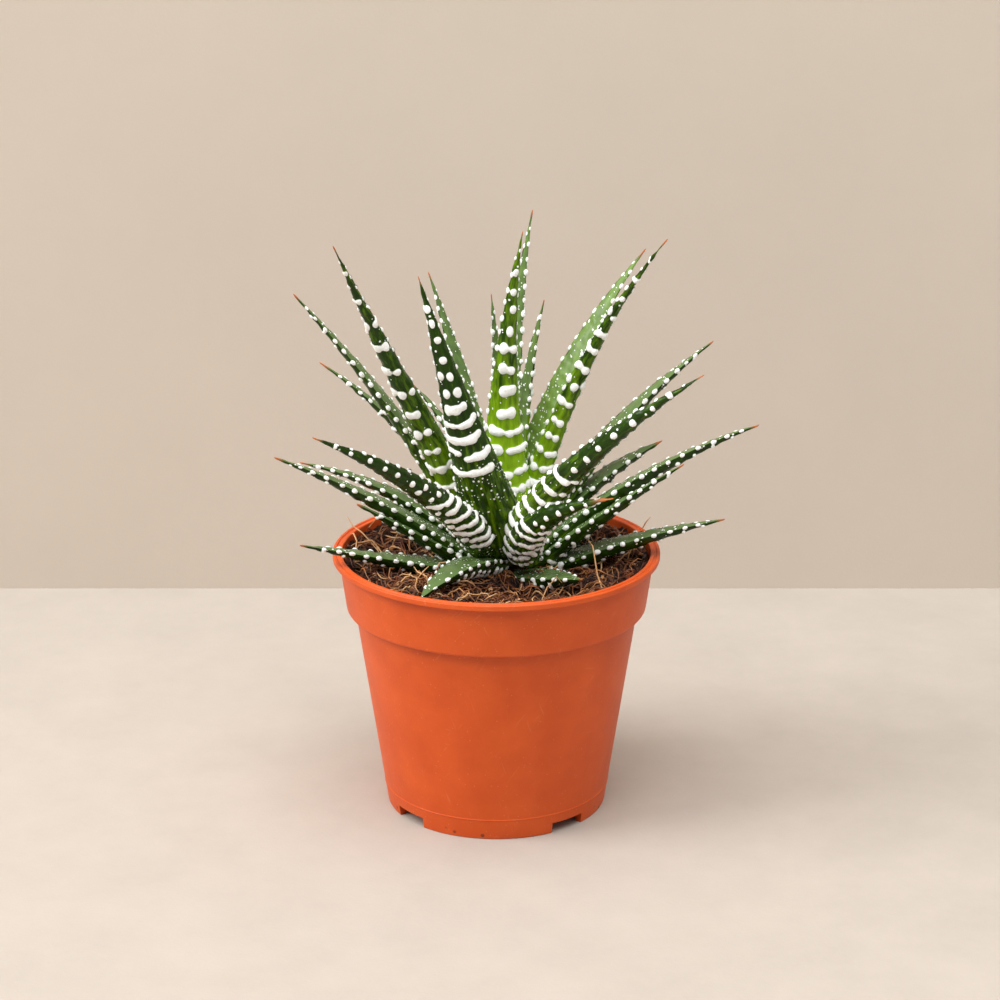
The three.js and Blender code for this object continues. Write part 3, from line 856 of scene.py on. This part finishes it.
def leaf_skin(row, at, around=LEAF_AROUND, clearance=0.0, relief=0.0):
    """The smooth skin of a leaf in millimetres, ring by ring. A ring starts with the back."""
    points, across, below = leaf_line(row, at)
    width, fullness = row[7:9]
    blade = width * (1 - at ** fullness)
    pinch = ROOT_PINCH + (1 - ROOT_PINCH) * np.clip(at / ROOT_LENGTH, 0, 1)
    closing = np.clip((1 - at) / TIP_CLOSING, 0, 1) ** 0.5 * np.clip(at / ROOT_CLOSING, 0, 1)
    half_width = (np.maximum(blade * pinch, TIP_WIDTH) / 2 + clearance + relief / 2) * closing
    depth = (LEAF_DEPTH * blade * pinch + TIP_DEPTH + clearance + relief) * closing
    crown = (LEAF_CROWN * blade + TIP_DEPTH / 2 + clearance) * closing
    turned = np.linspace(0, 1, around + 1)
    on_back = turned < LEAF_BACK_SHARE + 1e-6
    swing = np.pi * np.clip(turned / LEAF_BACK_SHARE, 0, 1)
    over = np.pi * np.clip((turned - LEAF_BACK_SHARE) / (1 - LEAF_BACK_SHARE), 0, 1)
    side = np.where(on_back, np.cos(swing), -np.cos(over))
    keel = KEEL_ROUNDNESS + KEEL_SHARPENING * at[:, None]
    back_drop = np.maximum(np.sin(swing), 0)[None, :] ** keel * depth[:, None]
    rise = (1 - side ** 2)[None, :] * crown[:, None]
    drop = np.where(on_back[None, :], back_drop, -rise)
    reach = side[None, :] * half_width[:, None]
    return points[:, None] + reach[..., None] * across[:, None] + drop[..., None] * below[:, None]


def tubercle_lumps(random, length, half_back, habit):
    """The tubercles of a leaf: (mm along, share of the half back, mm radius along and across)."""
    start, joined, paired = habit[:3]
    base_spacing, middle_spacing, tip_spacing = habit[3:6]
    lump, stretch, rows, off, slant = habit[6:]
    lumps = []
    along = start * length + 1
    row_turn = 0
    while along < length - BARE_TIP:
        t = along / length
        half = np.interp(along, *half_back)
        radius = min(lump * np.interp(t, [0, 0.15, 0.65, 1], [0.85, 1, 0.9, 0.5]), 0.6 * half)
        radius *= random.uniform(0.92, 1.08)
        if t < joined:
            count = max(2, round(BAND_SPREAD * half * math.hypot(1, slant) / (BAND_PITCH * radius)))
            pitch = BAND_SPREAD * half / count
            tall = radius * 0.95
        elif t < paired:
            count = 2 if random.random() < PAIRED_SHARE or half < NARROW_BACK else 3
            pitch = random.uniform(*PAIR_PITCH) * radius
            tall = radius * stretch
        else:
            count = 1
            pitch = 0
            tall = radius * stretch
        breaks = count > 3 and random.random() < BROKEN_SHARE
        break_after = random.integers(1, count) if breaks else count
        break_step = random.uniform(-0.9, 0.9)
        sway = (off + random.uniform(-0.1, 0.1)) * half
        if rows == 2 and count < 3:
            row_turn = 1 - row_turn
            sway += (ROW_OFFSET if row_turn else -ROW_OFFSET) * half
        slope = slant + random.uniform(-0.1, 0.1)
        for number in range(count):
            place = (number - (count - 1) / 2 + random.uniform(-0.12, 0.12)) * pitch + sway
            step = slope * place + random.uniform(-0.3, 0.3)
            if number >= break_after:
                place += 0.45 * radius
                step += break_step
            smile = SMILE * (place / half) ** 2
            lumps.append((
                along + smile + step,
                place / half,
                tall * random.uniform(0.75, 1.15),
                radius * random.uniform(0.8, 1.15),
            ))
        spacing = np.interp(t, [0.15, 0.45, 0.75], [base_spacing, middle_spacing, tip_spacing])
        if rows == 2 and t > joined:
            spacing *= ROW_CROWDING
        along += spacing * random.uniform(0.88, 1.12)
    for margin in (-1, 1):
        along = FIRST_MARGIN_DOT * length
        while along < length - BARE_MARGIN_TIP:
            t = along / length
            size = np.interp(t, [0, 0.25, 0.8, 1], [0.4, 0.62, 0.58, 0.38])
            size *= random.uniform(0.85, 1.2)
            share = margin * random.uniform(0.94, 1.0)
            lumps.append((along, share, MARGIN_DOT_LENGTH * size, size))
            along += np.interp(t, [0, 0.4, 1], [2.4, 4.2, 3.8]) * random.uniform(0.8, 1.2)
    return lumps


def grow_leaf(name, row, seed):
    """Makes one leaf: its skin, the tubercles raised from it, and what its finish reads."""
    random = np.random.default_rng(seed)
    line = leaf_line(row, np.linspace(0, 1, 40))[0]
    length = np.linalg.norm(np.diff(line, axis=0), axis=1).sum()
    leaf, at = rolled_grid(name, LEAF_AROUND, int(length / LEAF_ROW_LENGTH))
    skin = leaf_skin(row, at)
    steps = np.linalg.norm(np.diff(skin, axis=1), axis=2)
    round_place = np.concatenate([np.zeros((len(at), 1)), np.cumsum(steps, axis=1)], axis=1)
    girth = round_place[:, -1:]
    half_back = round_place[:, round(LEAF_BACK_SHARE * LEAF_AROUND)] / 2
    from_keel = round_place - half_back[:, None]
    place_along = at * length

    habit = HABITS[row[12]]
    field = np.zeros_like(from_keel)
    for along, share, tall, wide in tubercle_lumps(random, length, (place_along, half_back), habit):
        near = np.abs(place_along - along) < 3 * tall
        off_across = from_keel[near] - share * half_back[near, None]
        off_across -= girth[near] * np.round(off_across / np.maximum(girth[near], 1e-6))
        off_along = place_along[near, None] - along
        field[near] += np.exp(-((off_along / tall) ** 2) - (off_across / wide) ** 2)

    dome = np.clip((field - LUMP_EDGE) / (1 - LUMP_EDGE), 0, 1)
    height = np.interp(at, [0, 0.2, 0.6, 1], [0.7, 1, 0.9, 0.4])[:, None] * LUMP_HEIGHT
    relief = height * (1 - (1 - dome) ** 2) ** 0.5
    length_wise = np.broadcast_to(place_along[:, None], field.shape)
    relief += SKIN_WAVE_HEIGHT * layered_noise(from_keel, length_wise, SKIN_WAVE_SIZE, seed)
    relief *= np.clip(girth / 4, 0, 1)
    outwards = np.cross(np.gradient(skin, axis=1), np.gradient(skin, axis=0))
    outwards[:, 0] = outwards[:, -1] = (outwards[:, 0] + outwards[:, -1]) / 2
    outwards = outwards / np.maximum(np.linalg.norm(outwards, axis=2, keepdims=True), 1e-9)
    if (outwards * (skin - skin[:, :-1].mean(axis=1, keepdims=True))).sum() < 0:
        outwards = -outwards

    upper = (np.linspace(0, 1, LEAF_AROUND + 1) > LEAF_BACK_SHARE + 1e-6)[None, :]
    base_specks = 0.2 if row[12] in ("clasping", "inner") else 0.1
    first_band = habit[0]
    bare_base = np.interp(
        at, [0.5 * first_band, first_band, first_band + 0.06], [0.03, base_specks, 0.02]
    )[:, None]
    finish_values = {
        "tubercle": field,
        "upper_face": upper,
        "speck_share": np.where(upper, np.interp(at, [0, 0.7], [0.2, 0.07])[:, None], bare_base),
        # Paleness of youth and painted light shining through the leaf, strongest at the base.
        "youth_and_painted_glow": row[10] * np.interp(at, [0.05, 0.6], [1, 0.3])[:, None],
        "dry_tip": np.clip(1.25 - (length - place_along) / row[11], 0, 1)[:, None],
    }
    for value_name, values in finish_values.items():
        attribute = leaf.data.attributes.new(value_name, "FLOAT", "POINT")
        filled = np.broadcast_to(values, field.shape).astype(np.float32)
        attribute.data.foreach_set("value", filled.ravel())
    corner_vertices = np.empty(len(leaf.data.loops), np.int32)
    leaf.data.loops.foreach_get("vertex_index", corner_vertices)
    skin_place = np.stack([from_keel, length_wise], axis=-1)
    leaf.data.uv_layers.active.data.foreach_set(
        "uv", (skin_place.reshape(-1, 2) / UV_UNIT)[corner_vertices].ravel()
    )
    weld_up(leaf, skin + outwards * relief[..., None])
    return leaf


def leaf_room(name, row):
    """A plain, slightly larger copy of a leaf, to cut younger leaves with. Returns it boxed."""
    room, at = rolled_grid(name, ROOM_AROUND, ROOM_ROWS)
    skin = leaf_skin(row, at, ROOM_AROUND, ROOM_CLEARANCE, LUMP_HEIGHT)
    weld_up(room, skin)
    return room, skin.min(axis=(0, 1)), skin.max(axis=(0, 1))


def mould_to(leaf, row, older_rooms):
    """Cuts a leaf where it would run into older leaves. Only its largest body is kept."""
    skin = leaf_skin(row, np.linspace(0, 1, ROOM_ROWS))
    low, high = skin.min(axis=(0, 1)), skin.max(axis=(0, 1))
    deselect_all()
    leaf.select_set(True)
    bpy.context.view_layer.objects.active = leaf
    for room, room_low, room_high in older_rooms:
        if (low < room_high).all() and (room_low < high).all():
            modifier = leaf.modifiers.new("cut", "BOOLEAN")
            modifier.operation = "DIFFERENCE"
            modifier.solver = "MANIFOLD"
            modifier.object = room
            bpy.ops.object.modifier_apply(modifier=modifier.name)
    bpy.ops.object.mode_set(mode="EDIT")
    bpy.ops.mesh.select_all(action="SELECT")
    bpy.ops.mesh.separate(type="LOOSE")
    bpy.ops.object.mode_set(mode="OBJECT")
    bodies = sorted(bpy.context.selected_objects, key=lambda body: len(body.data.vertices))
    for scrap in bodies[:-1]:
        bpy.data.objects.remove(scrap)
    return bodies[-1]


def leaf_finish(name, dark, middle, bright, upper, gloss_roughness):
    """Waxy leaf skin over green flesh, with chalk-white tubercles and a dry brown tip.

    The UV map is in centimetres, so a scale of 7 draws streaks 1.4 mm wide, and 30 draws
    0.3 mm pores.
    """
    material, tree, shader = new_material(name)
    field, upper_face, speck_share, youth_and_painted_glow, dry_tip = (
        add_node(tree, "ShaderNodeAttribute", attribute_name=value_name).outputs["Fac"]
        for value_name in ("tubercle", "upper_face", "speck_share", "youth_and_painted_glow", "dry_tip")
    )
    skin_place = add_node(tree, "ShaderNodeUVMap").outputs["UV"]

    # Flesh: darker and lighter streaks along the leaf, and a paler, yellower green where young,
    # which also paints light shining through the leaf, strongest at the base.
    drawn_out = add_node(tree, "ShaderNodeMapping", {"Vector": skin_place, "Scale": (1, 0.2, 1)})
    streaks = add_node(
        tree,
        "ShaderNodeTexNoise",
        {"Vector": drawn_out.outputs["Vector"], "Scale": 7, "Detail": 5, "Roughness": 0.6},
        noise_dimensions="2D",
    )
    tone = add_node(
        tree,
        "ShaderNodeMath",
        {0: streaks.outputs["Fac"], 1: 0.75, 2: youth_and_painted_glow},
        operation="MULTIPLY_ADD",
    )
    back_colour = colour_stops(
        add_node(tree, "ShaderNodeValToRGB", {"Fac": tone.outputs["Value"]}),
        [(0.2, dark), (0.55, middle), (1.0, bright)],
    )
    # The upper face is mixed towards a greyer, paler green: a painted sheen of the sky it reflects.
    upper_face_painted_sheen = add_node(
        tree,
        "ShaderNodeMix",
        {"Factor": 0.65, "A": back_colour, "B": linear(upper)},
        data_type="RGBA",
    )
    flesh = add_node(
        tree,
        "ShaderNodeMix",
        {"Factor": upper_face, "A": back_colour, "B": upper_face_painted_sheen.outputs["Result"]},
        data_type="RGBA",
    )

    # Fine white specks, 0.3 to 0.5 mm across, on the upper face and on a bare base.
    specks = 0.0
    for scale, edge in ((8, 0.2), (13, 0.17)):
        cells = add_node(
            tree,
            "ShaderNodeTexVoronoi",
            {"Vector": skin_place, "Scale": scale},
            voronoi_dimensions="2D",
        )
        speck = add_node(
            tree,
            "ShaderNodeMapRange",
            {"Value": cells.outputs["Distance"], "From Min": edge + 0.06, "From Max": edge},
        )
        chance = add_node(tree, "ShaderNodeSeparateColor", {"Color": cells.outputs["Color"]})
        chosen = add_node(
            tree, "ShaderNodeMath", {0: chance.outputs["Red"], 1: speck_share}, operation="LESS_THAN"
        )
        there = add_node(
            tree,
            "ShaderNodeMath",
            {0: speck.outputs["Result"], 1: chosen.outputs["Value"]},
            operation="MULTIPLY",
        )
        specks = add_node(
            tree, "ShaderNodeMath", {0: specks, 1: there.outputs["Value"]}, operation="MAXIMUM"
        ).outputs["Value"]

    # Chalk-white tubercles where the lumps stand, and a tip that dries from olive to brown.
    lump = add_node(
        tree,
        "ShaderNodeMapRange",
        {"Value": field, "From Min": LUMP_EDGE - 0.05, "From Max": LUMP_EDGE + 0.05},
    )
    white = add_node(
        tree, "ShaderNodeMath", {0: lump.outputs["Result"], 1: specks}, operation="MAXIMUM"
    )
    chalk = add_node(tree, "ShaderNodeTexNoise", {"Vector": skin_place, "Scale": 16, "Detail": 3})
    chalk_colour = colour_stops(
        add_node(tree, "ShaderNodeValToRGB", {"Fac": chalk.outputs["Fac"]}),
        [(0.3, 0xEDF2E6), (0.6, 0xFFFFFF)],
    )
    marked = add_node(
        tree,
        "ShaderNodeMix",
        {"Factor": white.outputs["Value"], "A": flesh.outputs["Result"], "B": chalk_colour},
        data_type="RGBA",
    )
    tip_colour = colour_stops(
        add_node(tree, "ShaderNodeValToRGB", {"Fac": dry_tip}),
        [(0.2, 0x6F6A2E), (0.5, 0x96613A), (0.9, 0xB5683A)],
    )
    tip_edge = add_node(
        tree, "ShaderNodeMapRange", {"Value": dry_tip, "From Min": 0.1, "From Max": 0.7}
    )
    tipped = add_node(
        tree,
        "ShaderNodeMix",
        {"Factor": tip_edge.outputs["Result"], "A": marked.outputs["Result"], "B": tip_colour},
        data_type="RGBA",
    )
    tree.links.new(tipped.outputs["Result"], shader.inputs["Base Color"])

    # Wax: glossy over the green and duller over the white, with fine pores all over.
    roughness = add_node(
        tree,
        "ShaderNodeMapRange",
        {"Value": white.outputs["Value"], "To Min": gloss_roughness, "To Max": 0.5},
    )
    tree.links.new(roughness.outputs["Result"], shader.inputs["Roughness"])
    pores = add_node(
        tree,
        "ShaderNodeTexNoise",
        {"Vector": skin_place, "Scale": 30, "Detail": 3},
        noise_dimensions="2D",
    )
    raised = add_node(
        tree,
        "ShaderNodeMath",
        {0: pores.outputs["Fac"], 1: 0.35, 2: specks},
        operation="MULTIPLY_ADD",
    )
    bump = add_node(
        tree,
        "ShaderNodeBump",
        {"Height": raised.outputs["Value"], "Strength": 0.5, "Distance": 0.2 * MM},
    )
    tree.links.new(bump.outputs["Normal"], shader.inputs["Normal"])
    shader.inputs["IOR"].default_value = 1.45
    shader.inputs["Specular IOR Level"].default_value = 0.2
    return material


# The fourth colour of each finish is the upper face's painted sheen.
green_skin = leaf_finish("waxy_green_leaf_skin", 0x091801, 0x243F06, 0x86B014, 0x6C8450, 0.22)
dry_skin = leaf_finish("dry_brown_leaf_skin", 0x3A3323, 0x6A6046, 0x8B7F5C, 0x8C846C, 0.7)
rooms = []
for number, row in enumerate(LEAVES):
    name = f"leaf_{number + 1:02d}"
    blade = grow_leaf(name + "_blade", row, FIRST_LEAF_SEED + number)
    leaf = mould_to(blade, row, rooms)
    rooms.append(leaf_room(name + "_room", row))
    leaf.name = name + "_blade"
    cover(leaf, dry_skin if name == DRY_LEAF else green_skin)
    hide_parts(name)
    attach(leaf, "root")
for room, _, _ in rooms:
    bpy.data.objects.remove(room)


# Stage. A plain pale tabletop and a plain pale wall behind the pot, softly lit by a large light
# from the left, one from above, a weak one from the right, and pale surroundings.
WALL_PLACE = 168
STAGE_SIZE = 6000
PLASTER_GRAINS_A_METRE = 900


def plain_surface(name, colour, cloud_size, mottle):
    """Matte paint or plaster: one colour, faintly clouded, with a fine grain of 1.1 mm."""
    material, tree, shader = new_material(name)
    place = add_node(tree, "ShaderNodeTexCoord").outputs["Object"]
    clouds = add_node(
        tree,
        "ShaderNodeTexNoise",
        {"Vector": place, "Scale": 1 / (cloud_size * MM), "Detail": 9, "Roughness": 0.7},
    )
    grain = add_node(
        tree, "ShaderNodeTexNoise", {"Vector": place, "Scale": PLASTER_GRAINS_A_METRE, "Detail": 3}
    )
    tone = add_node(
        tree,
        "ShaderNodeMapRange",
        {"Value": clouds.outputs["Fac"], "To Min": 1 - mottle, "To Max": 1 + mottle},
    )
    toned = add_node(
        tree,
        "ShaderNodeVectorMath",
        {0: linear(colour)[:3], "Scale": tone.outputs["Result"]},
        operation="SCALE",
    )
    bump = add_node(
        tree,
        "ShaderNodeBump",
        {"Height": grain.outputs["Fac"], "Strength": 0.15, "Distance": 0.3 * MM},
    )
    tree.links.new(toned.outputs["Vector"], shader.inputs["Base Color"])
    tree.links.new(bump.outputs["Normal"], shader.inputs["Normal"])
    shader.inputs["Roughness"].default_value = 0.85
    shader.inputs["Specular IOR Level"].default_value = 0.2
    return material


deselect_all()
bpy.ops.mesh.primitive_plane_add(size=STAGE_SIZE * MM)
tabletop = bpy.context.active_object
tabletop.name = "tabletop"
tabletop.data.materials.append(plain_surface("matte_tabletop", 0xAFA69C, 30, 0.12))
bpy.ops.mesh.primitive_plane_add(
    size=STAGE_SIZE * MM, location=(0, WALL_PLACE * MM, 0), rotation=(math.pi / 2, 0, 0)
)
back_wall = bpy.context.active_object
back_wall.name = "back_wall"
wall_paint = plain_surface("matte_wall", 0xC6BAAC, 90, 0.06)
back_wall.data.materials.append(wall_paint)

# The wall is painted on its front alone, so that the plant can be looked at from behind too.
tree = wall_paint.node_tree
painted_front = add_node(
    tree,
    "ShaderNodeMixShader",
    {
        0: add_node(tree, "ShaderNodeNewGeometry").outputs["Backfacing"],
        1: tree.nodes["Principled BSDF"].outputs["BSDF"],
        2: add_node(tree, "ShaderNodeBsdfTransparent").outputs["BSDF"],
    },
)
tree.links.new(painted_front.outputs["Shader"], tree.nodes["Material Output"].inputs["Surface"])


def soft_light(name, place, aim, size, watts):
    """A white square area light at a place, turned to its aim. Places and sizes in millimetres."""
    bpy.ops.object.light_add(type="AREA", location=Vector(place) * MM)
    light = bpy.context.active_object
    light.name = name
    light.rotation_euler = (Vector(aim) - Vector(place)).to_track_quat("-Z", "Y").to_euler()
    light.data.size = size * MM
    light.data.energy = watts


soft_light("key_light", (-1860, -470, 1500), (0, 0, 60), 1200, 48)
soft_light("top_light", (0, -500, 1500), (0, -100, 60), 1600, 35)
soft_light("fill_light", (1100, -700, 500), (0, 0, 80), 900, 1)
world = bpy.data.worlds.new("studio")
bpy.context.scene.world = world
world.use_nodes = True
world.node_tree.nodes["Background"].inputs["Color"].default_value = linear(0xFFFFFF)
world.node_tree.nodes["Background"].inputs["Strength"].default_value = 0.28
